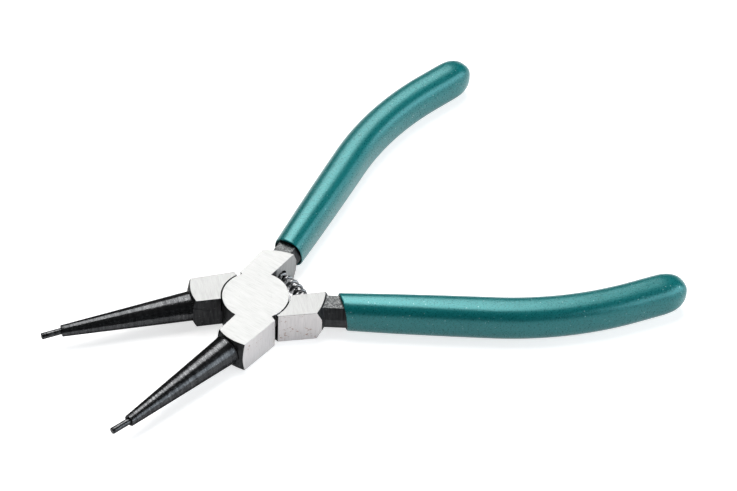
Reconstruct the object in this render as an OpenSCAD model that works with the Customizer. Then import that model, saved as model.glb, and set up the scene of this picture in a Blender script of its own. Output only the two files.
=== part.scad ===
// Circlip pliers for internal retaining rings, with straight tips and a lapped joint.
// Lengths are in millimetres. The pivot axis is Z and the underside of the joint is z = 0.
// The handles point to +X and the tips to -X, and the arms stand open as the spring holds them.

/* [Joint] */
// Diameter of the two lapped discs
joint_d = 18.6; // [17:0.1:20]
// Thickness of the joint
joint_t = 10; // [9:0.1:12]
// Gap between the two lapped faces
lap_gap = 0.1; // [0.05:0.01:0.3]
// Gap between each disc and the arm around it
disc_gap = 0.3; // [0.2:0.05:0.5]
// Diameter of the rivet's shank
rivet_d = 7; // [5:0.1:8]
// Diameter of the rivet's sunk heads
rivet_head_d = 9; // [8.2:0.1:11]
// Depth of the rivet's sunk heads
rivet_head_h = 1.4; // [0.8:0.1:2]
// Gap between the rivet and the upper arm, which holds it
rivet_seat_gap = 0.01; // [0.01:0.01:0.03]
// Running gap between the rivet and the lower arm, which turns on it
rivet_run_gap = 0.05; // [0.03:0.01:0.1]

/* [Opening] */
// Angle from the middle line to each arm as the spring holds it
rest_angle = 21.4; // [19:0.1:24]
// Angle from the square line to the jaw block's stop face
jaw_stop_angle = 1.7; // [1:0.1:3]
// Angle from the square line to the shoulder's stop face
shoulder_stop_angle = 6.1; // [3:0.1:7]

/* [Jaw block] */
// Distance from the arm line to the block's inner face
jaw_inset = 0.2; // [0.1:0.05:1]
// Width of the block at its front
jaw_block_w = 9.25; // [8.5:0.05:10.5]
// Angle that the block widens by towards the joint
jaw_block_taper = 3.3; // [0:0.1:5]
// Radius, about the cone's axis, where the turned bevel of the front starts
jaw_bevel_r = 4.7; // [4.4:0.1:5.5]
// Slope of the turned bevel of the front
jaw_bevel_angle = 24; // [10:1:40]

/* [Jaw cone] */
// Distance from the pivot to the root of the cone
cone_reach = 17.5; // [16:0.1:20]
// Distance from the arm line to the root of the cone
cone_inset = 3.7; // [3.4:0.05:5]
// Angle that the cone turns inwards from the arm line
cone_toe = 6.4; // [4:0.1:8]
// Length of the cone
cone_l = 36.6; // [30:0.1:45]
// Diameter of the cone at its root
cone_root_d = 7.8; // [6.5:0.1:8.4]
// Diameter of the cone at its end
cone_end_d = 2.7; // [2.6:0.1:3.6]
// Bevel at the cone's root
cone_root_bevel = 0.4; // [0.2:0.1:0.6]

/* [Tips] */
// Diameter of the tip pins
tip_d = 1.8; // [1.2:0.1:1.8]
// Length that a tip pin stands out of its cone
tip_l = 5.7; // [4:0.1:8]
// Diameter of a tip pin's tapered seat at its inner end
tip_seat_d = 1.1; // [0.8:0.1:1.1]
// Height above the cone's end where the taper starts
tip_seat_h = 0.4; // [0.3:0.1:0.8]
// Angle that a tip pin turns inwards from its cone
tip_toe = 6; // [0:0.5:8]
// Depth of a tip pin's socket in the cone
tip_socket = 5.5; // [4:0.1:6]
// Gap between a tip pin and its socket
tip_gap = 0.01; // [0.01:0.01:0.03]
// Bevel on the end of a tip pin
tip_bevel = 0.2; // [0.1:0.05:0.4]

/* [Handle shoulder] */
// Distance from the arm line to the shoulder's inner face
shoulder_inset = 1.55; // [1:0.05:2.5]
// Width of the shoulder beside the pivot
shoulder_w = 7.4; // [6.5:0.1:9]
// Angle that the shoulder widens by towards the grip
shoulder_flare = 2.4; // [0:0.1:5]
// Radius of the shoulder's rounded end, on the flat faces
shoulder_end_r = 20; // [19:0.1:22]
// Distance of that radius's centre behind the pivot, across the arm
shoulder_end_shift = 3; // [1:0.1:5]
// How far the end swells out at half height
shoulder_swell = 1.2; // [0.5:0.1:2]
// Height of the swelling's flat middle
shoulder_swell_h = 4; // [2:0.1:6]

/* [Handle bar] */
// Distance from the pivot to the start of the bar's line
bar_start = 16; // [14:0.1:18]
// Distance from the arm line to the start of the bar's line
bar_inset = 4.4; // [3.8:0.1:5]
// Angle that the bar leaves the joint at
bar_angle = 12.2; // [10:0.1:15]
// Length of the bar's straight stretch
bar_straight = 49.5; // [42:0.1:56]
// Radius of the bar's bend
bar_bend_r = 98; // [80:1:120]
// Angle of the bar's bend
bar_bend = 23.5; // [16:0.1:26]
// Length of the bar's line behind the bend
bar_tail = 12; // [9:0.1:20]
// Length that the bar stops short of the end of its line
bar_short = 4; // [2:0.1:8]
// Width of the bar at its forging seam
bar_w = 8; // [7:0.1:8.3]
// Width of the bar's flat faces
bar_flat_w = 5; // [4:0.1:6]
// Height of the bar at its bare neck
bar_h = 7.6; // [6.5:0.1:8]
// Height of the bar inside the grip
bar_body_h = 8.6; // [8:0.1:9]
// Height of the band beside the forging seam
bar_seam_h = 1.2; // [0.6:0.1:2]
// Height that both handles stand above the joint's middle
handle_lift = 0.7; // [0:0.1:1]

/* [Grips] */
// Length of bare bar in front of the grip
grip_start = 7.4; // [6.5:0.1:10]
// Width of the grip at its mouth
grip_mouth_w = 8.9; // [8.9:0.1:10]
// Width of the grip behind its mouth
grip_w = 9.2; // [9.2:0.1:11.5]
// Length over which the grip widens behind its mouth
grip_flare_l = 20; // [12:1:30]
// How much higher than wide the grip is
grip_rise = 2; // [1.6:0.1:3]
// Squareness of the grip's section, where 2 is an oval
grip_square = 2.5; // [2.2:0.1:3]
// Angle that the grip's mouth leans towards the joint at its top
grip_lean = 7; // [0:0.5:8]
// Gap between the grip and the bar
grip_gap = 0.05; // [0.02:0.01:0.1]
// Thickness of the free lip at the grip's mouth
grip_lip = 0.3; // [0.2:0.05:0.4]
// Depth of the free lip at the grip's mouth
grip_lip_h = 1.2; // [0.6:0.1:2]

/* [Spring] */
// Distance from the pivot to the spring's pockets
spring_reach = 13.8; // [13:0.1:15]
// Outer diameter of the spring
spring_d = 4; // [3.5:0.1:4.2]
// Diameter of the spring's wire
wire_d = 1; // [0.7:0.05:1]
// Diameter of the pockets
pocket_d = 4.6; // [4.5:0.1:5]
// Depth of the pockets
pocket_h = 5; // [4:0.1:6]
// Gap between the spring's ends and the floors of the pockets
spring_end_gap = 0.1; // [0.05:0.05:0.3]
// Number of open turns
open_turns = 10; // [7:1:10]
// Number of closed turns at each end
closed_turns = 1; // [1:1:2]

/* [Hidden] */
$fn = 96;

// Overlap that keeps cuts and unions clean
nick = 1;
half_t = joint_t / 2;
joint_r = joint_d / 2;

// Stop faces stand at these angles from the arm line
jaw_stop = 90 - rest_angle - jaw_stop_angle;
shoulder_stop = 90 - rest_angle - shoulder_stop_angle;

// Outer corners of the jaw block and the shoulder lie where their stop faces meet their outer sides
jaw_out = jaw_inset + jaw_block_w;
jaw_slope = tan(jaw_block_taper);
jaw_corner = (jaw_out + cone_reach * jaw_slope) / (sin(jaw_stop) + cos(jaw_stop) * jaw_slope);
shoulder_out = shoulder_inset + shoulder_w;
shoulder_slope = tan(shoulder_flare);
shoulder_corner = shoulder_out / (sin(shoulder_stop) - cos(shoulder_stop) * shoulder_slope);
shoulder_mid_r = shoulder_end_r + shoulder_swell;
shoulder_end_x = sqrt(pow(shoulder_mid_r, 2) - pow(shoulder_end_shift + shoulder_inset, 2));

// The bar's line is straight, then bends inwards, then runs straight again
bar_bend_l = bar_bend_r * bar_bend * PI / 180;
bar_bend_end = bar_straight + bar_bend_l;
bar_l = bar_bend_end + bar_tail;
bar_bend_steps = 8;
sleeve_sides = 32;
sleeve_steps = 28;
cap_steps = 6;

// The spring runs straight in its pockets and on an arc between their mouths
mouth_y = spring_reach * sin(rest_angle) + shoulder_inset * cos(rest_angle);
mouth_x = spring_reach * cos(rest_angle) - shoulder_inset * sin(rest_angle);
spring_arc_r = mouth_y / sin(rest_angle);
spring_arc_x = mouth_x - spring_arc_r * cos(rest_angle);
spring_arc_half = spring_arc_r * rest_angle * PI / 180;
spring_half = spring_arc_half + pocket_h - spring_end_gap;
coil_r = (spring_d - wire_d) / 2;
closed_pitch = wire_d * 1.05;
wire_half = spring_half - wire_d / 2;
closed_l = closed_turns * closed_pitch;
open_pitch = 2 * (wire_half - closed_l) / open_turns;
all_turns = open_turns + 2 * closed_turns;
wire_sides = 8;
turn_steps = 14;

// Both arms have the same form: the lower one is turned over about the arm line
// Only their handles differ, because both are lifted towards the tool's top
module upper_side() {
    translate([0, 0, half_t])
        rotate([0, 0, rest_angle])
            children();
}

module lower_side() {
    translate([0, 0, half_t])
        rotate([0, 0, -rest_angle])
            rotate([180, 0, 0])
                children();
}

// Frame of the cone: z runs along its axis from root to end, -y points to the other jaw
module on_cone() {
    translate([-cone_reach, -cone_inset, 0])
        rotate([0, 0, 180 - cone_toe])
            rotate([0, 90, 0])
                children();
}

// Frame of the tip pin: z runs out along the pin from the cone's end
module on_tip() {
    on_cone()
        translate([0, 0, cone_l])
            rotate([tip_toe, 0, 0])
                children();
}

// Block of the jaw, flat on four sides, with its front turned to a bevel about the cone's axis
module jaw_block() {
    front = cone_reach + nick;
    intersection() {
        linear_extrude(joint_t, center = true)
            polygon([
                [0, 0],
                [-jaw_corner * cos(jaw_stop), -jaw_corner * sin(jaw_stop)],
                [-front, -jaw_out + nick * jaw_slope],
                [-front, -jaw_inset],
                [0, -jaw_inset]
            ]);
        on_cone()
            rotate_extrude()
                polygon([
                    [0, 0],
                    [jaw_bevel_r, 0],
                    [2 * joint_d, -(2 * joint_d - jaw_bevel_r) * tan(jaw_bevel_angle)],
                    [2 * joint_d, -2 * joint_d],
                    [0, -2 * joint_d]
                ]);
    }
}

// Turned cone that carries the tip, bevelled at its root and cut flush with the block's inner face
module jaw_cone() {
    root_r = cone_root_d / 2;
    difference() {
        on_cone()
            rotate_extrude()
                polygon([
                    [0, -nick],
                    [root_r + cone_root_bevel, -nick],
                    [root_r + cone_root_bevel, 0],
                    [root_r, cone_root_bevel],
                    [cone_end_d / 2, cone_l],
                    [0, cone_l]
                ]);
        translate([-cone_reach, -jaw_inset, -joint_t])
            cube([cone_reach, joint_d, 2 * joint_t]);
    }
}

// Shoulder of the handle, flat on four sides, with a swelling rounded end
module shoulder() {
    far = shoulder_mid_r + nick;
    bevel_h = half_t - shoulder_swell_h / 2;
    cut_r = shoulder_end_r - nick * shoulder_swell / bevel_h;
    intersection() {
        linear_extrude(joint_t, center = true)
            polygon([
                [shoulder_inset / tan(shoulder_stop), shoulder_inset],
                [far, shoulder_inset],
                [far, shoulder_out + far * shoulder_slope],
                [shoulder_corner * cos(shoulder_stop), shoulder_corner * sin(shoulder_stop)]
            ]);
        translate([0, -shoulder_end_shift, 0])
            rotate_extrude()
                polygon([
                    [0, -half_t - nick],
                    [cut_r, -half_t - nick],
                    [shoulder_mid_r, -shoulder_swell_h / 2],
                    [shoulder_mid_r, shoulder_swell_h / 2],
                    [cut_r, half_t + nick],
                    [0, half_t + nick]
                ]);
    }
}

// Places and directions along the bar's line, by distance from its start
function bar_turn(s) = bar_angle - bar_bend * max(0, min(1, (s - bar_straight) / bar_bend_l));
function bar_ahead(s) = [cos(bar_turn(s)), sin(bar_turn(s)), 0];
function bar_side(s) = [-sin(bar_turn(s)), cos(bar_turn(s)), 0];
function bar_over(s) = min(0, s - bar_straight) + max(0, s - bar_bend_end);
function bar_line(s) =
    [bar_start, bar_inset, 0] + bar_straight * bar_ahead(0) + bar_bend_r * (bar_side(s) - bar_side(0))
    + bar_over(s) * bar_ahead(s);
function ring_at(s, section) = [for (p = section) bar_line(s) + p[0] * bar_side(s) + [0, 0, p[1]]];

// Section of the forged bar, eight-sided, with its seam at half height, and higher inside the grip
function bar_high(s) = bar_h + (bar_body_h - bar_h) * max(0, min(1, (s - grip_start) / grip_flare_l));
function bar_section(s, gap) =
    let (flat = [bar_flat_w / 2 + gap, bar_high(s) / 2 + gap])
    let (seam = [bar_w / 2 + gap, bar_seam_h / 2 + gap])
    [
        [flat[0], flat[1]],
        [-flat[0], flat[1]],
        [-seam[0], seam[1]],
        [-seam[0], -seam[1]],
        [-flat[0], -flat[1]],
        [flat[0], -flat[1]],
        [seam[0], -seam[1]],
        [seam[0], seam[1]]
    ];

// Section of the grip, an oval with full corners
function full(v) = sign(v) * pow(abs(v), 2 / grip_square);
function grip_section(w) =
    [for (i = [0 : sleeve_sides - 1])
        let (a = 360 * i / sleeve_sides)
        [w / 2 * full(cos(a)), (w + grip_rise) / 2 * full(sin(a))]];

// The mouth stands square to the arm line and leans at its top, so the rings behind it slant less and less
// The section's top is the tool's top where up is 1, and on the arm turned over up is -1
function flare(s) = sin(90 * max(0, min(1, (s - grip_start) / grip_flare_l)));
function slant_ring(s, section, up) =
    let (slant = tan(bar_angle) * (1 - flare(s)))
    let (lean = up * tan(grip_lean) * (1 - flare(s)))
    [for (p = section)
        let (t = s + p[0] * slant - p[1] * lean)
        bar_line(t) + p[0] * bar_side(t) + [0, 0, p[1]]];
function sleeve_ring(part, up) =
    let (s = grip_start + part * (bar_l - grip_start))
    slant_ring(s, grip_section(grip_mouth_w + (grip_w - grip_mouth_w) * flare(s)), up);
function cap_ring(a) = ring_at(bar_l + grip_w / 2 * sin(a), cos(a) * grip_section(grip_w));

// Closed solid through rings of equally many points, which turn counterclockwise seen from the last
module loft(rings) {
    count = len(rings[0]);
    last = (len(rings) - 1) * count;
    sides = [for (i = [0 : len(rings) - 2], j = [0 : count - 1])
        let (a = i * count + j)
        let (b = i * count + (j + 1) % count)
        each [[a, a + count, b], [b, a + count, b + count]]];
    front = [for (j = [0 : count - 1]) j];
    back = [for (j = [count - 1 : -1 : 0]) last + j];
    polyhedron([for (ring = rings) each ring], concat([front, back], sides));
}

// The handle bar, or its hollow grown by a gap on every side
module bar(gap) {
    bend = [for (i = [0 : bar_bend_steps]) bar_straight + bar_bend_l * i / bar_bend_steps];
    stations = concat([0, grip_start, grip_start + grip_flare_l], bend, [bar_l - bar_short + gap]);
    loft([for (s = stations) ring_at(s, bar_section(s, gap))]);
}

// Rivet or its hole: a shank with a sunk head at each end, grown by a gap on its radius
module rivet_form(gap, cut) {
    head_slope = (rivet_head_d - rivet_d) / 2 / rivet_head_h;
    shank_r = rivet_d / 2 + gap;
    head_r = rivet_head_d / 2 + gap + cut * head_slope;
    rotate_extrude()
        polygon([
            [0, -half_t - cut],
            [head_r, -half_t - cut],
            [shank_r, -half_t + rivet_head_h],
            [shank_r, half_t - rivet_head_h],
            [head_r, half_t + cut],
            [0, half_t + cut]
        ]);
}

// Blind pocket in the shoulder's inner face for one end of the spring
module spring_pocket() {
    translate([spring_reach, shoulder_inset - nick, 0])
        rotate([-90, 0, 0])
            cylinder(h = nick + pocket_h, d = pocket_d);
}

// Full-height joint with its jaw block and shoulder, lapped by a recess for the other arm's disc
module joint_half() {
    difference() {
        union() {
            cylinder(h = joint_t, r = joint_r, center = true);
            jaw_block();
            shoulder();
        }
        translate([0, 0, -half_t - nick])
            cylinder(h = half_t + nick + lap_gap / 2, r = joint_r + disc_gap);
    }
}

// Handles stand nearer to the tool's top, which is at -z on the arm turned over, where up is -1
module lifted(up) {
    translate([0, 0, up * handle_lift])
        children();
}

// The bar as it leaves the shoulder, cut flush with the shoulder's inner face
module handle_bar(up) {
    difference() {
        lifted(up)
            bar(0);
        translate([0, -joint_d, -joint_t])
            cube([shoulder_end_x, joint_d + shoulder_inset, 2 * joint_t]);
    }
}

// One arm: half of the lapped joint, its jaw and its handle bar
module arm(rivet_gap, up) {
    difference() {
        union() {
            joint_half();
            jaw_cone();
            handle_bar(up);
        }
        rivet_form(rivet_gap, nick);
        spring_pocket();
        on_tip()
            translate([0, 0, -tip_socket])
                cylinder(
                    h = tip_socket + tip_seat_h,
                    d1 = tip_seat_d + 2 * tip_gap,
                    d2 = tip_d + 2 * tip_gap
                );
    }
}

// One turned tip pin, with a tapered seat in its socket and a bevelled free end
module tip() {
    on_tip()
        rotate_extrude()
            polygon([
                [0, -tip_socket],
                [tip_seat_d / 2, -tip_socket],
                [tip_d / 2, tip_seat_h],
                [tip_d / 2, tip_l - tip_bevel],
                [tip_d / 2 - tip_bevel, tip_l],
                [0, tip_l]
            ]);
}

// One dipped grip: a sleeve with a closed round end, hollowed by the bar it covers
module grip(up) {
    sleeve = [for (i = [0 : sleeve_steps]) sleeve_ring(i / sleeve_steps, up)];
    cap = [for (i = [1 : cap_steps]) cap_ring(90 * i / (cap_steps + 0.5))];
    lip = grip_section(grip_mouth_w - 2 * grip_lip);
    lifted(up)
        difference() {
            loft(concat(sleeve, cap));
            bar(grip_gap);
            loft([slant_ring(grip_start - nick, lip, up), slant_ring(grip_start + grip_lip_h, lip, up)]);
        }
}

// Middle line of the spring, by distance along it from the middle
function spring_turn(s) = max(-rest_angle, min(rest_angle, s / spring_arc_r * 180 / PI));
function spring_over(s) = sign(s) * max(0, abs(s) - spring_arc_half);
function spring_out(s) = [cos(spring_turn(s)), sin(spring_turn(s)), 0];
function spring_along(s) = [-sin(spring_turn(s)), cos(spring_turn(s)), 0];
function spring_line(s) =
    [spring_arc_x, 0, half_t] + spring_arc_r * spring_out(s) + spring_over(s) * spring_along(s);

// Distance along the spring at a number of turns: tight turns at both ends, open ones between
function coil_s(turns) =
    turns < closed_turns ? -wire_half + turns * closed_pitch :
    turns < closed_turns + open_turns ? -wire_half + closed_l + (turns - closed_turns) * open_pitch :
    wire_half - (all_turns - turns) * closed_pitch;

function coil_side(turns) = cos(360 * turns) * spring_out(coil_s(turns)) + [0, 0, sin(360 * turns)];
function coil_point(turns) = spring_line(coil_s(turns)) + coil_r * coil_side(turns);
function unit(v) = v / norm(v);
function wire_ring(turns) =
    let (ahead = unit(coil_point(turns + 0.01) - coil_point(turns - 0.01)))
    let (across = unit(cross(ahead, coil_side(turns))))
    let (side = cross(across, ahead))
    [for (i = [0 : wire_sides - 1])
        let (a = 360 * i / wire_sides)
        coil_point(turns) + wire_d / 2 * (cos(a) * side + sin(a) * across)];

// Round wire swept along the coil
module spring_wire() {
    loft([for (i = [0 : all_turns * turn_steps]) wire_ring(i / turn_steps)]);
}

module upper_arm() {
    color("gainsboro")
        upper_side()
            arm(rivet_seat_gap, 1);
}

module lower_arm() {
    color("silver")
        lower_side()
            arm(rivet_run_gap, -1);
}

module joint_rivet() {
    color("lightgray")
        translate([0, 0, half_t])
            rivet_form(0, 0);
}

module opening_spring() {
    color("dimgray")
        spring_wire();
}

module upper_grip() {
    color("teal")
        upper_side()
            grip(1);
}

module lower_grip() {
    color("teal")
        lower_side()
            grip(-1);
}

module upper_tip() {
    color("darkslategray")
        upper_side()
            tip();
}

module lower_tip() {
    color("darkslategray")
        lower_side()
            tip();
}

upper_arm();
lower_arm();
joint_rivet();
opening_spring();
upper_grip();
lower_grip();
upper_tip();
lower_tip();
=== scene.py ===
import math

import bmesh
import bpy
from mathutils import Matrix, Vector


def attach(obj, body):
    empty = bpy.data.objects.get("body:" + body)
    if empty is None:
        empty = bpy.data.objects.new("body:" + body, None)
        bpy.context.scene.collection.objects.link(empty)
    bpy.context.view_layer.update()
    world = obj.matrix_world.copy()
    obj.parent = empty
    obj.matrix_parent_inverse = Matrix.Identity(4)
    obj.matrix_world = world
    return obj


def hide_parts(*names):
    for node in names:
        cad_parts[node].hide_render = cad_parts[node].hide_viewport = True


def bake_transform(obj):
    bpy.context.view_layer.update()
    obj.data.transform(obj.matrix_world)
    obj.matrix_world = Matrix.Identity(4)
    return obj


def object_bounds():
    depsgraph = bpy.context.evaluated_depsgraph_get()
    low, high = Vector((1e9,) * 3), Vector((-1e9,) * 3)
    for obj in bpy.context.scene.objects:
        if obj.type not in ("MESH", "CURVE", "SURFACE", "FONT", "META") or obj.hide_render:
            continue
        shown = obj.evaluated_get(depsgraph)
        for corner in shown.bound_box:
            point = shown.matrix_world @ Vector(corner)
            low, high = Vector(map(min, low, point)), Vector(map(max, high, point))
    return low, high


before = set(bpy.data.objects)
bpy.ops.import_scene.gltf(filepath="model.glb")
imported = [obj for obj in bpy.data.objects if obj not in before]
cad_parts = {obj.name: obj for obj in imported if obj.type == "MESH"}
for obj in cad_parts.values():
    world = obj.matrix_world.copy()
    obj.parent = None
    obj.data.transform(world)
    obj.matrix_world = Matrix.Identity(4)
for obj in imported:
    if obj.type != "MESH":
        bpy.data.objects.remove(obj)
cad_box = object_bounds()
scene = bpy.context.scene
scene.view_settings.view_transform = "Standard"

# Lengths of the part are in millimetres until they become mesh points, and angles are in radians
MM = 0.001

# Joint and shoulders, as in the construction
HALF_T = 5.0
REST = math.radians(21.4)
SHOULDER_INSET = 1.55
SHOULDER_W = 7.4
SHOULDER_OUT = SHOULDER_INSET + SHOULDER_W
SHOULDER_SLOPE = math.tan(math.radians(2.4))
SHOULDER_SHIFT = 3.0
SHOULDER_END_R = 20.0

# Cones and tips, as in the construction
CONE_REACH = 17.5
CONE_INSET = 3.7
CONE_TOE = math.radians(6.4)
CONE_L = 36.6
CONE_ROOT_R = 3.9
CONE_BEVEL = 0.4
CONE_FOOT_R = CONE_ROOT_R + CONE_BEVEL
CONE_ROOT = Vector((-CONE_REACH, -CONE_INSET, 0))
CONE_AHEAD = Vector((-math.cos(CONE_TOE), math.sin(CONE_TOE), 0))
TIP_TOE = math.radians(6)
TIP_L = 5.7
TIP_R = 0.9
TIP_SOCKET = 5.5
TIP_SEAT_R = 0.55
TIP_SEAT_H = 0.4
TIP_BEVEL = 0.2

# Bars in the handles, as in the construction
BAR_START = 16.0
BAR_INSET = 4.4
BAR_ANGLE = math.radians(12.2)
BAR_STRAIGHT = 49.5
BAR_BEND_R = 98.0
BAR_BEND = math.radians(23.5)
BAR_TAIL = 12.0
BAR_SHORT = 4.0
BAR_W = 8.0
BAR_FLAT_W = 5.0
BAR_H = 7.6
BAR_BODY_H = 8.6
BAR_SEAM_H = 1.2
HANDLE_LIFT = 0.7
BAR_BEND_L = BAR_BEND_R * BAR_BEND
BAR_BEND_END = BAR_STRAIGHT + BAR_BEND_L
BAR_L = BAR_BEND_END + BAR_TAIL

# Spring, as in the construction
SPRING_REACH = 13.8
SPRING_D = 4.0
WIRE_D = 1.0
POCKET_H = 5.0
SPRING_END_GAP = 0.1
OPEN_TURNS = 10
CLOSED_TURNS = 1
CLOSED_PITCH = 1.05 * WIRE_D

# Start, gap, flare, free lip and full height of the grips, as in the construction
GRIP_START = 7.4
GRIP_GAP = 0.05
GRIP_FLARE_L = 20.0
GRIP_LIP_H = 1.2
GRIP_H = 11.2

# Sizes of the grips in the scene alone: at the mouth, and where they have grown to their full width
GRIP_MOUTH_W = 8.85
GRIP_MOUTH_H = 10.75
GRIP_MOUTH_SQUARE = 2.4
GRIP_W = 10.0
GRIP_SQUARE = 2.65
GRIP_GROW_L = 45.0
# Rolled lip: the share of the wall where it starts, its height, and where the plain outside starts
GRIP_LIP = 0.45
GRIP_ROLL = 0.5
GRIP_OUTSIDE = 0.6
# Each dipped mouth: its shift along the bar, its slant across the bar and its lean
MOUTH = {
    "upper": (-0.6, math.tan(math.radians(4.5)), math.tan(math.radians(10.5))),
    "lower": (0.25, math.tan(math.radians(17)), math.tan(math.radians(6))),
}
# Round end: how far before the end of the bar's line it starts, how far it goes past it, and its bluntness
CAP_EARLY = 4.0
CAP_L = 4.5
CAP_BLUNT = 0.85

# Arms in the scene: softened edges with the angle that counts as sharp, the radius around the rivet that is
# left alone, the limits for joining points and flat faces, and how much fuller the cones are
EDGE = 0.15
SHARP = math.radians(24)
RIVET_CLEAR_R = 5.0
WELD = 0.002
FLAT = math.radians(0.4)
CONE_FULLER = 0.26
# Zones of the arms' faces: how near a face is to its plane, and how squarely it points up or sideways
ZONE_NEAR = 0.06
ZONE_LEVEL = 0.9
ZONE_UPRIGHT = 0.95

# Fineness of the meshes
TIP_SIDES = 40
WIRE_SIDES = 14
TURN_STEPS = 36
GRIP_SIDES = 64
HOLLOW_STEPS = 24
ROLL_STEPS = 8
SLEEVE_STEPS = 96
CAP_STEPS = 15

# From the arm's own frame to the part's frame: the lower arm is turned over about the arm line
PLACE = {
    "upper": Matrix.Translation((0, 0, HALF_T)) @ Matrix.Rotation(REST, 4, "Z"),
    "lower": Matrix.Translation((0, 0, HALF_T)) @ Matrix.Rotation(-REST, 4, "Z")
    @ Matrix.Rotation(math.pi, 4, "X"),
}
BODY = {"upper": "upper_half", "lower": "lower_half"}

# Ground faces: the brightness of each copy of the ground steel, set per face direction and per arm to how
# that face is lit, so painted light and shade; and how far from the pivot the inner face stays black
TOP_PAINTED_LIGHT = {"upper": 0.42, "lower": 0.352}
SIDE_PAINTED_LIGHT = {"upper": 0.563, "lower": 0.605}
SIDE_TINT = (1, 0.955, 0.955)
GREY_PAINTED_SHADE = 0.26
GREY_DARK_REACH = 11.2

# Floor, in metres: half its width, and how strongly it glows near the part and far from it
FLOOR_HALF = 3.0
FLOOR_NEAR = 0.25
FLOOR_FAR = 0.9
FLOOR_GLOW_NEAR = 0.7
FLOOR_GLOW_FAR = 0.2

# Softboxes: place and size in metres, power in watts, colour
SOFTBOXES = {
    "back_softbox": ((0.22, 0.45, 0.88), (0.5, 0.95), 14, (1.0, 0.997, 0.975)),
    "left_softbox": ((-0.7, 0.4, 0.5), (0.5, 0.4), 0.6, (1, 1, 1)),
    "right_softbox": ((0.75, -0.75, 0.38), (1.4, 0.7), 13, (0.86, 0.945, 1.0)),
}

# Camera: place in metres, direction, and focal length with its sensor's width
CAMERA_PLACE = (-0.25196, -0.42152, 0.50006)
CAMERA_HEADING = math.radians(55.5744)
CAMERA_PITCH = math.radians(-43.7364)
CAMERA_ROLL = math.radians(2.7976)
CAMERA_LENS = 122.6
SENSOR_W = 36


def new_object(name, bm, materials):
    """A mesh object from a bmesh in metres, smooth, with these materials."""
    mesh = bpy.data.meshes.new(name)
    bmesh.ops.recalc_face_normals(bm, faces=bm.faces)
    bm.to_mesh(mesh)
    bm.free()
    for material in materials:
        mesh.materials.append(material)
    mesh.polygons.foreach_set("use_smooth", [True] * len(mesh.polygons))
    obj = bpy.data.objects.new(name, mesh)
    scene.collection.objects.link(obj)
    return obj


def loft(rings):
    """A closed bmesh through rings of equally many points, given in millimetres."""
    bm = bmesh.new()
    made = [[bm.verts.new(Vector(p) * MM) for p in ring] for ring in rings]
    count = len(made[0])
    for low, high in zip(made, made[1:]):
        for j in range(count):
            k = (j + 1) % count
            bm.faces.new((low[j], low[k], high[k], high[j]))
    bm.faces.new(list(reversed(made[0])))
    bm.faces.new(made[-1])
    return bm


# Materials


class Nodes:
    """A node tree under construction."""

    def __init__(self, tree):
        self.tree = tree
        tree.nodes.clear()

    def add(self, kind, **settings):
        node = self.tree.nodes.new(kind)
        for key, value in settings.items():
            setattr(node, key, value)
        return node

    def join(self, source, target):
        self.tree.links.new(source, target)

    def noise(self, vector, scale, detail=3.0, roughness=0.55):
        node = self.add("ShaderNodeTexNoise")
        node.inputs["Scale"].default_value = scale
        node.inputs["Detail"].default_value = detail
        node.inputs["Roughness"].default_value = roughness
        self.join(vector, node.inputs["Vector"])
        return node.outputs["Fac"]

    def ramp(self, fac, stops):
        node = self.add("ShaderNodeValToRGB")
        ramp = node.color_ramp
        while len(ramp.elements) < len(stops):
            ramp.elements.new(0.5)
        for element, (place, colour) in zip(ramp.elements, stops):
            element.position = place
            element.color = (*colour, 1)
        self.join(fac, node.inputs["Fac"])
        return node.outputs["Color"]

    def span(self, fac, low, high, to_low=0.0, to_high=1.0):
        """A value carried from one range to another, and held at its ends."""
        node = self.add("ShaderNodeMapRange")
        limits = {"From Min": low, "From Max": high, "To Min": to_low, "To Max": to_high}
        for key, value in limits.items():
            node.inputs[key].default_value = value
        self.join(fac, node.inputs["Value"])
        return node.outputs["Result"]

    def mix(self, fac, under, over):
        """A colour socket, covered by a plain colour as far as the factor says."""
        node = self.add("ShaderNodeMix", data_type="RGBA")
        self.join(fac, node.inputs["Factor"])
        self.join(under, node.inputs[6])
        node.inputs[7].default_value = (*over, 1)
        return node.outputs[2]

    def math(self, kind, a, b):
        node = self.add("ShaderNodeMath", operation=kind)
        for socket, value in zip(node.inputs, (a, b)):
            if isinstance(value, (int, float)):
                socket.default_value = value
            else:
                self.join(value, socket)
        return node.outputs[0]

    def place(self, angle=0.0, stretch=(1, 1, 1)):
        """Coordinates of the part's frame in metres, turned about Z and then stretched."""
        coords = self.add("ShaderNodeTexCoord")
        turn = self.add("ShaderNodeMapping")
        turn.inputs["Rotation"].default_value = (0, 0, angle)
        self.join(coords.outputs["Object"], turn.inputs["Vector"])
        grow = self.add("ShaderNodeMapping")
        grow.inputs["Scale"].default_value = stretch
        self.join(turn.outputs["Vector"], grow.inputs["Vector"])
        return grow.outputs["Vector"]

    def bump(self, height, strength, distance):
        node = self.add("ShaderNodeBump")
        node.inputs["Strength"].default_value = strength
        node.inputs["Distance"].default_value = distance
        self.join(height, node.inputs["Height"])
        return node.outputs["Normal"]


def principled(name, metallic, specular=0.5, edge=1.0):
    """A material, its node tree and its shader's sockets; edge is the tint of glancing reflections."""
    material = bpy.data.materials.new(name)
    material.use_nodes = True
    n = Nodes(material.node_tree)
    shader = n.add("ShaderNodeBsdfPrincipled")
    shader.inputs["Metallic"].default_value = metallic
    shader.inputs["Specular IOR Level"].default_value = specular
    shader.inputs["Specular Tint"].default_value = (edge, edge, edge, 1)
    out = n.add("ShaderNodeOutputMaterial")
    n.join(shader.outputs[0], out.inputs["Surface"])
    return material, n, shader.inputs


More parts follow.
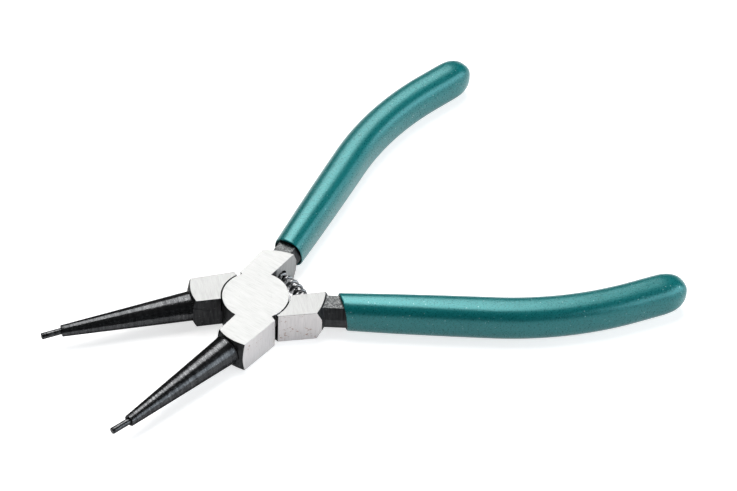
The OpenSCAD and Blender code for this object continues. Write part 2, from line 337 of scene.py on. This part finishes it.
def ground_steel(name, angle, light, metallic=0.6, tint=(1, 1, 1), rust=0.0, dark_reach=0.0):
    """Ground faces: fine lines across the arm, faint clouding, a few rust specks, black near the disc;
    light sets a brightness that is painted light and shade for the faces it covers.
    """
    material, n, shader = principled(name, metallic)

    # shade scales the colour by light, the painted light and shade of these faces
    def shade(part):
        return tuple(part * light * t for t in tint)

    lines = n.noise(n.place(angle, (1, 0.04, 0.04)), 5200, 4, 0.7)
    broad = n.noise(n.place(angle, (1, 0.1, 0.1)), 900, 2)
    clouds = n.noise(n.place(), 160, 2)
    colour = n.ramp(lines, [(0.32, shade(0.82)), (0.52, shade(1)), (1.0, shade(1.12))])
    colour = n.mix(n.span(broad, 0.35, 0.75, 0.0, 0.1), colour, shade(0.6))
    colour = n.mix(n.span(clouds, 0.4, 0.7, 0.0, 0.08), colour, shade(0.75))
    if rust:
        specks = n.noise(n.place(), 1200, 2, 0.6)
        fields = n.noise(n.place(), 170, 1)
        amount = n.math("MULTIPLY", n.span(specks, 0.61, 0.66), n.span(fields, 0.44, 0.56))
        colour = n.mix(n.math("MULTIPLY", amount, rust), colour, (0.24, 0.1, 0.05))
    if dark_reach:
        along = n.add("ShaderNodeSeparateXYZ")
        n.join(n.place(angle), along.inputs["Vector"])
        ragged = n.math("MULTIPLY", n.noise(n.place(), 1600, 3), 0.0012)
        reach = n.math("ADD", along.outputs["X"], ragged)
        black = n.span(reach, dark_reach + 0.0005, dark_reach + 0.0012, 1.0, 0.0)
        colour = n.mix(black, colour, (0.02, 0.02, 0.022))
    n.join(colour, shader["Base Color"])
    n.join(n.span(lines, 0.3, 0.75, 0.46, 0.3), shader["Roughness"])
    n.join(n.bump(lines, 0.25, 0.00002), shader["Normal"])
    return material


def turned_black(name, angle):
    """Black oxide on turned steel: rings across the axis, a satin sheen and light wear specks."""
    material, n, shader = principled(name, metallic=0.85, edge=0.12)
    rings = n.noise(n.place(angle, (1, 0.03, 0.03)), 1900, 3, 0.75)
    skin = n.noise(n.place(), 2400, 3, 0.65)
    clouds = n.noise(n.place(angle, (0.35, 1, 1)), 420, 3)
    colour = n.ramp(rings, [(0.32, (0.018, 0.0185, 0.02)), (0.66, (0.07, 0.071, 0.074))])
    colour = n.mix(n.span(clouds, 0.42, 0.68, 0.0, 0.6), colour, (0.03, 0.032, 0.034))
    colour = n.mix(n.span(skin, 0.56, 0.7, 0.0, 0.5), colour, (0.2, 0.203, 0.21))
    n.join(colour, shader["Base Color"])
    n.join(n.span(skin, 0.35, 0.7, 0.13, 0.27), shader["Roughness"])
    height = n.math("ADD", n.math("MULTIPLY", rings, 2.2), n.math("MULTIPLY", skin, 0.42))
    n.join(n.bump(height, 0.4, 0.0001), shader["Normal"])
    return material


def forged_black(name):
    """Forged skin under black oxide, pitted and rubbed bright on its high spots."""
    material, n, shader = principled(name, metallic=0.8, edge=0.4)
    pits = n.noise(n.place(), 2600, 3, 0.7)
    lumps = n.noise(n.place(), 700, 3)
    colour = n.ramp(lumps, [(0.35, (0.03, 0.031, 0.033)), (0.7, (0.08, 0.081, 0.084))])
    colour = n.mix(n.span(pits, 0.45, 0.68, 0.0, 0.6), colour, (0.27, 0.285, 0.285))
    n.join(colour, shader["Base Color"])
    n.join(n.span(pits, 0.3, 0.7, 0.6, 0.4), shader["Roughness"])
    height = n.math("ADD", pits, n.math("MULTIPLY", lumps, 0.8))
    n.join(n.bump(height, 0.5, 0.00008), shader["Normal"])
    return material


def satin_black(name):
    """Smooth black oxide on milled faces, with faint tool lines askew to the arms."""
    material, n, shader = principled(name, metallic=0.7, edge=0.4)
    lines = n.noise(n.place(0.5, (1, 0.15, 0.15)), 1700, 3)
    skin = n.noise(n.place(), 900, 3)
    colour = n.ramp(lines, [(0.35, (0.018, 0.0185, 0.02)), (0.75, (0.05, 0.051, 0.053))])
    colour = n.mix(n.span(skin, 0.62, 0.74, 0.0, 0.35), colour, (0.2, 0.2, 0.205))
    n.join(colour, shader["Base Color"])
    n.join(n.span(skin, 0.3, 0.7, 0.34, 0.5), shader["Roughness"])
    n.join(n.bump(lines, 0.3, 0.00003), shader["Normal"])
    return material


def spring_steel(name):
    """Drawn spring wire: dark, smooth and glossy, with faint scale."""
    material, n, shader = principled(name, metallic=1.0)
    skin = n.noise(n.place(), 1300, 3)
    colour = n.ramp(skin, [(0.35, (0.16, 0.16, 0.165)), (0.7, (0.32, 0.32, 0.33))])
    n.join(colour, shader["Base Color"])
    n.join(n.span(skin, 0.3, 0.7, 0.24, 0.36), shader["Roughness"])
    n.join(n.bump(skin, 0.2, 0.00003), shader["Normal"])
    return material


def dipped_plastic(name):
    """Satin green dipped plastic: fine grain, soft clouding and tiny pale dust specks."""
    material, n, shader = principled(name, metallic=0.28, specular=0.48)
    grain = n.noise(n.place(), 2600, 4, 0.65)
    ripple = n.noise(n.place(), 240, 2)
    clouds = n.noise(n.place(), 45, 2)
    colour = n.ramp(clouds, [(0.3, (0.001, 0.108, 0.112)), (0.7, (0.002, 0.128, 0.133))])
    colour = n.mix(n.span(grain, 0.4, 0.62, 0.0, 0.6), colour, (0.004, 0.2, 0.208))
    cells = n.add("ShaderNodeTexVoronoi", feature="F1")
    cells.inputs["Scale"].default_value = 760
    n.join(n.place(), cells.inputs["Vector"])
    chosen = n.add("ShaderNodeSeparateColor")
    n.join(cells.outputs["Color"], chosen.inputs["Color"])
    dot = n.span(cells.outputs["Distance"], 0.06, 0.13, 1.0, 0.0)
    dust = n.math("MULTIPLY", dot, n.span(chosen.outputs["Red"], 0.3, 0.7))
    colour = n.mix(n.math("MULTIPLY", dust, 0.7), colour, (0.4, 0.6, 0.6))
    n.join(colour, shader["Base Color"])
    n.join(n.span(grain, 0.35, 0.65, 0.25, 0.37), shader["Roughness"])
    height = n.math("ADD", n.math("MULTIPLY", grain, 1.2), ripple)
    n.join(n.bump(height, 0.35, 0.00008), shader["Normal"])
    return material


# Arms: the imported solids with softened edges, each face with the finish of its zone, the ground zones
# with painted light and shade in their brightness

TOP, SIDE, GREY, BLACK, CONE, FORGED = range(6)


def arm_finishes(side, black, forged):
    """An arm's materials, in the order of the zones."""
    angle, toe = (-REST, CONE_TOE) if side == "upper" else (REST, -CONE_TOE)
    return [
        # The top, side and grey ground materials are copies of one steel, lighter or darker by painted
        # light and shade
        ground_steel(side + "_ground_top_painted_light", angle, TOP_PAINTED_LIGHT[side], metallic=0.12),
        ground_steel(side + "_ground_side_painted_light", angle, SIDE_PAINTED_LIGHT[side], tint=SIDE_TINT, rust=0.65),
        ground_steel(side + "_ground_grey_painted_shade", angle, GREY_PAINTED_SHADE, dark_reach=GREY_DARK_REACH * MM),
        black,
        turned_black(side + "_turned_black", angle + toe),
        forged,
    ]


def cone_place(point):
    """How far a point lies along the jaw's cone, and its offset from the cone's axis."""
    along = (point - CONE_ROOT).dot(CONE_AHEAD)
    return along, point - CONE_ROOT - along * CONE_AHEAD


def face_zone(centre, normal):
    """Finish of an arm's face, from its place and normal in the arm's own frame."""
    x, y, z = centre
    level = abs(normal.z) > ZONE_LEVEL
    if level and abs(z) > HALF_T - ZONE_NEAR:
        return TOP
    if x < 0:
        if x > -CONE_REACH and normal.y < -ZONE_UPRIGHT:
            return SIDE
        on_cone = x < -CONE_REACH + 0.2 and cone_place(centre)[1].length < CONE_FOOT_R - 0.1
        return CONE if on_cone else BLACK
    if normal.y > ZONE_UPRIGHT and abs(y - SHOULDER_OUT - x * SHOULDER_SLOPE) < ZONE_NEAR:
        return SIDE
    if normal.y < -ZONE_UPRIGHT and abs(y - SHOULDER_INSET) < ZONE_NEAR:
        return GREY
    behind = math.hypot(x, y + SHOULDER_SHIFT) > SHOULDER_END_R - 1
    return FORGED if behind and level else BLACK


def fuller_cone(point):
    """The point moved out a little where it is on the outside of the cone."""
    along, offset = cone_place(point)
    socket_clear, foot_clear = TIP_R + 0.3, CONE_FOOT_R - 0.02
    if along <= 0 or not socket_clear < offset.length < foot_clear:
        return point
    return point + offset.normalized() * CONE_FULLER * min(1, along / CONE_BEVEL)


def can_soften(point):
    """False at the rivet's hole and at the bevel around the cone's foot."""
    along, offset = cone_place(point)
    at_foot = -0.2 < along < CONE_BEVEL + 0.3 and offset.length < CONE_FOOT_R + 0.1
    return math.hypot(point.x, point.y) > RIVET_CLEAR_R and not at_foot


def soften(bm, back):
    """Rounds the sharp edges; back leads from the mesh to the arm's own frame."""
    sharp = []
    for edge in bm.edges:
        if len(edge.link_faces) != 2 or edge.calc_face_angle() < SHARP:
            continue
        if can_soften(back @ ((edge.verts[0].co + edge.verts[1].co) / 2)):
            sharp.append(edge)
    bmesh.ops.bevel(bm, geom=sharp, offset=EDGE * MM, offset_type="OFFSET", segments=2, profile=0.5,
                    affect="EDGES", clamp_overlap=False, material=-1)
    bmesh.ops.remove_doubles(bm, verts=bm.verts, dist=WELD * MM)


def arm_piece(side, materials):
    """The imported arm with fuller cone, finishes by zone and softened edges."""
    bm = bmesh.new()
    bm.from_mesh(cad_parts[side + "_arm"].data)
    back = PLACE[side].inverted() @ Matrix.Diagonal((1 / MM, 1 / MM, 1 / MM, 1))
    ahead = back.inverted()
    for vert in bm.verts:
        vert.co = ahead @ fuller_cone(back @ vert.co)
    bmesh.ops.remove_doubles(bm, verts=bm.verts, dist=WELD * MM)
    bmesh.ops.dissolve_limit(bm, angle_limit=FLAT, verts=bm.verts, edges=bm.edges)
    turn = back.to_3x3().normalized()
    bm.normal_update()
    for face in bm.faces:
        face.material_index = face_zone(back @ face.calc_center_median(), turn @ face.normal)
    soften(bm, back)
    obj = new_object(side + "_arm_steel", bm, materials)
    obj.data.set_sharp_from_angle(angle=math.radians(60))
    flat = obj.modifiers.new("flat_faces", "WEIGHTED_NORMAL")
    flat.keep_sharp = True
    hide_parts(side + "_arm")
    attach(obj, BODY[side])


def finish_rivet(material):
    """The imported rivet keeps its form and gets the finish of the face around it."""
    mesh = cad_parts["joint_rivet"].data
    mesh.materials.clear()
    mesh.materials.append(material)


# Tips: turned pins with a rounded free end, bare on its face


def tip_piece(side, materials):
    """A pin from the bottom of its seat in the cone to its free end."""
    to_cone = Matrix.Translation(CONE_ROOT) @ Matrix.Rotation(math.pi - CONE_TOE, 4, "Z")
    to_cone = to_cone @ Matrix.Rotation(math.pi / 2, 4, "Y")
    to_tip = to_cone @ Matrix.Translation((0, 0, CONE_L)) @ Matrix.Rotation(TIP_TOE, 4, "X")
    place = PLACE[side] @ to_tip
    corner = 0.3 * TIP_BEVEL
    profile = [
        (TIP_SEAT_R, -TIP_SOCKET),
        (TIP_R, TIP_SEAT_H),
        (TIP_R, TIP_L / 2),
        (TIP_R, TIP_L - TIP_BEVEL),
        (TIP_R - corner, TIP_L - corner),
        (TIP_R - TIP_BEVEL, TIP_L),
    ]
    angles = [2 * math.pi * j / TIP_SIDES for j in range(TIP_SIDES)]
    rings = [[place @ Vector((r * math.cos(a), r * math.sin(a), h)) for a in angles] for r, h in profile]
    bm = loft(rings)
    bm.faces.ensure_lookup_table()
    bm.faces[-1].material_index = 1
    obj = new_object(side + "_tip_pin", bm, materials)
    obj.data.set_sharp_from_angle(angle=math.radians(40))
    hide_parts(side + "_tip")
    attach(obj, BODY[side])


# Grips: dipped sleeves with a rolled lip, hollowed by the bar


def bar_turn(s):
    """The bar's direction at a length along its line."""
    return BAR_ANGLE - BAR_BEND * min(1, max(0, (s - BAR_STRAIGHT) / BAR_BEND_L))


def bar_line(s):
    """The point at a length along the bar's line: straight, bent, straight."""
    turn = bar_turn(s)
    over = min(0, s - BAR_STRAIGHT) + max(0, s - BAR_BEND_END)
    start = Vector((BAR_START, BAR_INSET, 0))
    ahead = Vector((math.cos(BAR_ANGLE), math.sin(BAR_ANGLE), 0))
    bend = Vector((math.sin(BAR_ANGLE) - math.sin(turn), math.cos(turn) - math.cos(BAR_ANGLE), 0))
    bend_point = start + BAR_STRAIGHT * ahead + BAR_BEND_R * bend
    return bend_point + over * Vector((math.cos(turn), math.sin(turn), 0))


def bar_side(s):
    """The direction across the bar, away from the other handle."""
    turn = bar_turn(s)
    return Vector((-math.sin(turn), math.cos(turn), 0))


def grip_section(width, height, square):
    """An oval section: a square power of 2 gives an ellipse, and more makes it boxier."""
    points = []
    for i in range(GRIP_SIDES):
        a = 2 * math.pi * i / GRIP_SIDES
        c, s = math.cos(a), math.sin(a)
        points.append((width / 2 * math.copysign(abs(c) ** (2 / square), c),
                       height / 2 * math.copysign(abs(s) ** (2 / square), s)))
    return points


def hollow_section(s):
    """The bar's eight-sided section with its gap, read at the grip section's angles."""
    rise = min(1, max(0, (s - GRIP_START) / GRIP_FLARE_L))
    flat = (BAR_FLAT_W / 2 + GRIP_GAP, (BAR_H + (BAR_BODY_H - BAR_H) * rise) / 2 + GRIP_GAP)
    seam = (BAR_W / 2 + GRIP_GAP, BAR_SEAM_H / 2 + GRIP_GAP)
    quarter = [seam, flat]
    half = quarter + [(-x, y) for x, y in reversed(quarter)]
    corners = half + [(-x, -y) for x, y in half]
    points = []
    for x, y in grip_section(GRIP_W, GRIP_H, GRIP_SQUARE):
        past = 0
        for (ax, ay), (bx, by) in zip(corners, corners[1:] + corners[:1]):
            out_x, out_y = by - ay, ax - bx
            past = max(past, (out_x * x + out_y * y) / (out_x * ax + out_y * ay))
        points.append((x / past, y / past))
    return points


def lip_section(part):
    """A section at the mouth, from the bar's hollow at 0 to the sleeve's outside at 1."""
    outside = grip_section(GRIP_MOUTH_W, GRIP_MOUTH_H, GRIP_MOUTH_SQUARE)
    pairs = zip(hollow_section(GRIP_START), outside)
    return [(x + part * (u - x), y + part * (v - y)) for (x, y), (u, v) in pairs]


def flare(s, length=GRIP_FLARE_L):
    """Rises from 0 at the mouth to 1 at this length behind it."""
    return math.sin(math.pi / 2 * min(1, max(0, (s - GRIP_START) / length)))


def sleeve_section(s):
    """The sleeve's outside, which grows wider and squarer behind the mouth."""
    high, wide = flare(s), flare(s, GRIP_GROW_L)
    return grip_section(GRIP_MOUTH_W + (GRIP_W - GRIP_MOUTH_W) * wide,
                        GRIP_MOUTH_H + (GRIP_H - GRIP_MOUTH_H) * high,
                        GRIP_MOUTH_SQUARE + (GRIP_SQUARE - GRIP_MOUTH_SQUARE) * wide)


def slant_ring(s, section, side):
    """A ring of the sleeve: rings near the mouth slant with it and lean to the joint at the tool's top."""
    up = 1 if side == "upper" else -1
    shift, slant, lean = (value * (1 - flare(s)) for value in MOUTH[side])
    ring = []
    for across, high in section:
        t = s + shift + across * slant - high * up * lean
        point = bar_line(t) + across * bar_side(t) + Vector((0, 0, high + up * HANDLE_LIFT))
        ring.append(PLACE[side] @ point)
    return ring


def sleeve_stations():
    """Places along the bar with their sections: hollow, lip, outside and round end."""
    lip_end = GRIP_START + GRIP_LIP_H
    hollow_end = BAR_L - BAR_SHORT + GRIP_GAP
    for i in range(HOLLOW_STEPS, -1, -1):
        s = lip_end + (hollow_end - lip_end) * i / HOLLOW_STEPS
        yield s, hollow_section(s)
    yield lip_end, lip_section(GRIP_LIP)
    yield GRIP_START + GRIP_LIP_H / 2, lip_section(GRIP_LIP)
    for i in range(ROLL_STEPS + 1):
        a = math.pi * i / ROLL_STEPS
        part = GRIP_LIP + (1 - GRIP_LIP) * (1 - math.cos(a)) / 2
        yield GRIP_START + GRIP_ROLL * (1 - math.sin(a)), lip_section(part)
    outside, cap = GRIP_START + GRIP_OUTSIDE, BAR_L - CAP_EARLY
    for i in range(1, SLEEVE_STEPS + 1):
        s = outside + (cap - outside) * i / SLEEVE_STEPS
        yield s, sleeve_section(s)
    # The last ring stays half a step before the pole and is closed by a flat face
    for i in range(1, CAP_STEPS + 1):
        a = math.pi / 2 * i / (CAP_STEPS + 0.5)
        size = math.cos(a) ** CAP_BLUNT
        section = grip_section(size * GRIP_W, size * GRIP_H, GRIP_SQUARE)
        yield cap + (CAP_EARLY + CAP_L) * math.sin(a) ** CAP_BLUNT, section


def grip_piece(side, material):
    """A closed sleeve around its bar."""
    rings = [slant_ring(s, section, side) for s, section in sleeve_stations()]
    obj = new_object(side + "_grip_sleeve", loft(rings), [material])
    obj.data.set_sharp_from_angle(angle=math.radians(50))
    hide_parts(side + "_grip")
    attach(obj, BODY[side])


# Spring: a coil of round wire between the two pockets


def spring_piece(material):
    """The coil, straight in the pockets and on an arc between their mouths."""
    mouth_y = SPRING_REACH * math.sin(REST) + SHOULDER_INSET * math.cos(REST)
    mouth_x = SPRING_REACH * math.cos(REST) - SHOULDER_INSET * math.sin(REST)
    arc_r = mouth_y / math.sin(REST)
    arc_x = mouth_x - arc_r * math.cos(REST)
    arc_half = arc_r * REST
    wire_half = arc_half + POCKET_H - SPRING_END_GAP - WIRE_D / 2
    closed_l = CLOSED_TURNS * CLOSED_PITCH
    open_pitch = 2 * (wire_half - closed_l) / OPEN_TURNS
    turns = OPEN_TURNS + 2 * CLOSED_TURNS
    coil_r = (SPRING_D - WIRE_D) / 2

    def along(t):
        if t < CLOSED_TURNS:
            return -wire_half + t * CLOSED_PITCH
        if t < CLOSED_TURNS + OPEN_TURNS:
            return -wire_half + closed_l + (t - CLOSED_TURNS) * open_pitch
        return wire_half - (turns - t) * CLOSED_PITCH

    def middle_at(s):
        turn = max(-REST, min(REST, s / arc_r))
        over = math.copysign(max(0, abs(s) - arc_half), s)
        out = Vector((math.cos(turn), math.sin(turn), 0))
        ahead = Vector((-math.sin(turn), math.cos(turn), 0))
        return Vector((arc_x, 0, HALF_T)) + arc_r * out + over * ahead, out

    def wire_at(t):
        middle, out = middle_at(along(t))
        a = 2 * math.pi * t
        reach = math.cos(a) * out + math.sin(a) * Vector((0, 0, 1))
        return middle + coil_r * reach, reach

    angles = [2 * math.pi * j / WIRE_SIDES for j in range(WIRE_SIDES)]
    rings = []
    for i in range(turns * TURN_STEPS + 1):
        t = i / TURN_STEPS
        centre, reach = wire_at(t)
        ahead = (wire_at(t + 0.01)[0] - wire_at(t - 0.01)[0]).normalized()
        across = ahead.cross(reach).normalized()
        up = across.cross(ahead)
        rings.append([centre + WIRE_D / 2 * (math.cos(a) * up + math.sin(a) * across) for a in angles])
    obj = new_object("opening_spring_coil", loft(rings), [material])
    obj.data.set_sharp_from_angle(angle=math.radians(50))
    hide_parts("opening_spring")
    ends = [middle_at(sign * (wire_half + WIRE_D / 2))[0] * MM for sign in (1, -1)]
    tuple(ends[0])
    tuple(ends[1])
    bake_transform(obj)


# Floor, light and camera


def floor_piece():
    """A pale floor under the part, which glows to the camera and in reflections and still takes shadows."""
    z = cad_box[0][2]
    bm = bmesh.new()
    signs = ((-1, -1), (1, -1), (1, 1), (-1, 1))
    bm.faces.new([bm.verts.new((x * FLOOR_HALF, y * FLOOR_HALF, z)) for x, y in signs])
    material = bpy.data.materials.new("pale_floor")
    material.use_nodes = True
    n = Nodes(material.node_tree)
    paper = n.add("ShaderNodeBsdfDiffuse")
    fibre = n.noise(n.place(), 60, 3)
    pale = n.ramp(fibre, [(0.3, (0.605, 0.603, 0.61)), (0.7, (0.625, 0.623, 0.63))])
    n.join(pale, paper.inputs["Color"])
    rays = n.add("ShaderNodeLightPath").outputs
    mirrored = n.math("MAXIMUM", rays["Is Glossy Ray"], rays["Is Transmission Ray"])
    seen = n.math("MAXIMUM", rays["Is Camera Ray"], mirrored)
    reach = n.add("ShaderNodeVectorMath", operation="LENGTH")
    n.join(n.place(), reach.inputs[0])
    pool = n.span(reach.outputs["Value"], FLOOR_NEAR, FLOOR_FAR, FLOOR_GLOW_NEAR, FLOOR_GLOW_FAR)
    glow = n.add("ShaderNodeEmission")
    n.join(n.math("MULTIPLY", seen, pool), glow.inputs["Strength"])
    both = n.add("ShaderNodeAddShader")
    n.join(paper.outputs[0], both.inputs[0])
    n.join(glow.outputs[0], both.inputs[1])
    out = n.add("ShaderNodeOutputMaterial")
    n.join(both.outputs[0], out.inputs["Surface"])
    floor = new_object("floor", bm, [material])


def softbox(name, place, size, power, colour):
    """A rectangular light, aimed at the joint."""
    light = bpy.data.lights.new(name, "AREA")
    light.shape = "RECTANGLE"
    light.size, light.size_y = size
    light.energy = power
    light.color = colour
    obj = bpy.data.objects.new(name, light)
    obj.location = place
    obj.rotation_euler = (-Vector(place)).to_track_quat("-Z", "Y").to_euler()
    scene.collection.objects.link(obj)


def studio():
    """A dim grey room and the softboxes."""
    world = bpy.data.worlds.new("studio")
    scene.world = world
    world.use_nodes = True
    n = Nodes(world.node_tree)
    coords = n.add("ShaderNodeTexCoord")
    parts = n.add("ShaderNodeSeparateXYZ")
    n.join(coords.outputs["Generated"], parts.inputs["Vector"])
    greys = [(0.0, 0.08), (0.25, 0.03), (0.6, 0.02)]
    sky = n.ramp(parts.outputs["Z"], [(at, (grey, grey, grey)) for at, grey in greys])
    background = n.add("ShaderNodeBackground")
    n.join(sky, background.inputs["Color"])
    out = n.add("ShaderNodeOutputWorld")
    n.join(background.outputs[0], out.inputs["Surface"])
    for name, values in SOFTBOXES.items():
        softbox(name, *values)


def camera():
    """The camera that was fitted to the photograph."""
    lens = bpy.data.cameras.new("camera")
    lens.sensor_width = SENSOR_W
    lens.lens = CAMERA_LENS
    lens.clip_start = 0.01
    obj = bpy.data.objects.new("camera", lens)
    heading = Matrix.Rotation(CAMERA_HEADING - math.pi / 2, 4, "Z")
    tilt = Matrix.Rotation(CAMERA_PITCH + math.pi / 2, 4, "X") @ Matrix.Rotation(CAMERA_ROLL, 4, "Z")
    obj.matrix_world = Matrix.Translation(CAMERA_PLACE) @ heading @ tilt
    scene.collection.objects.link(obj)
    scene.camera = obj


camera()
studio()
floor_piece()

green = dipped_plastic("dipped_green_plastic")
black = satin_black("satin_black_steel")
forged = forged_black("forged_black_steel")
for side in PLACE:
    finishes = arm_finishes(side, black, forged)
    arm_piece(side, finishes)
    tip_piece(side, [finishes[CONE], finishes[GREY]])
    grip_piece(side, green)
    if side == "upper":
        finish_rivet(finishes[TOP])
spring_piece(spring_steel("spring_steel"))
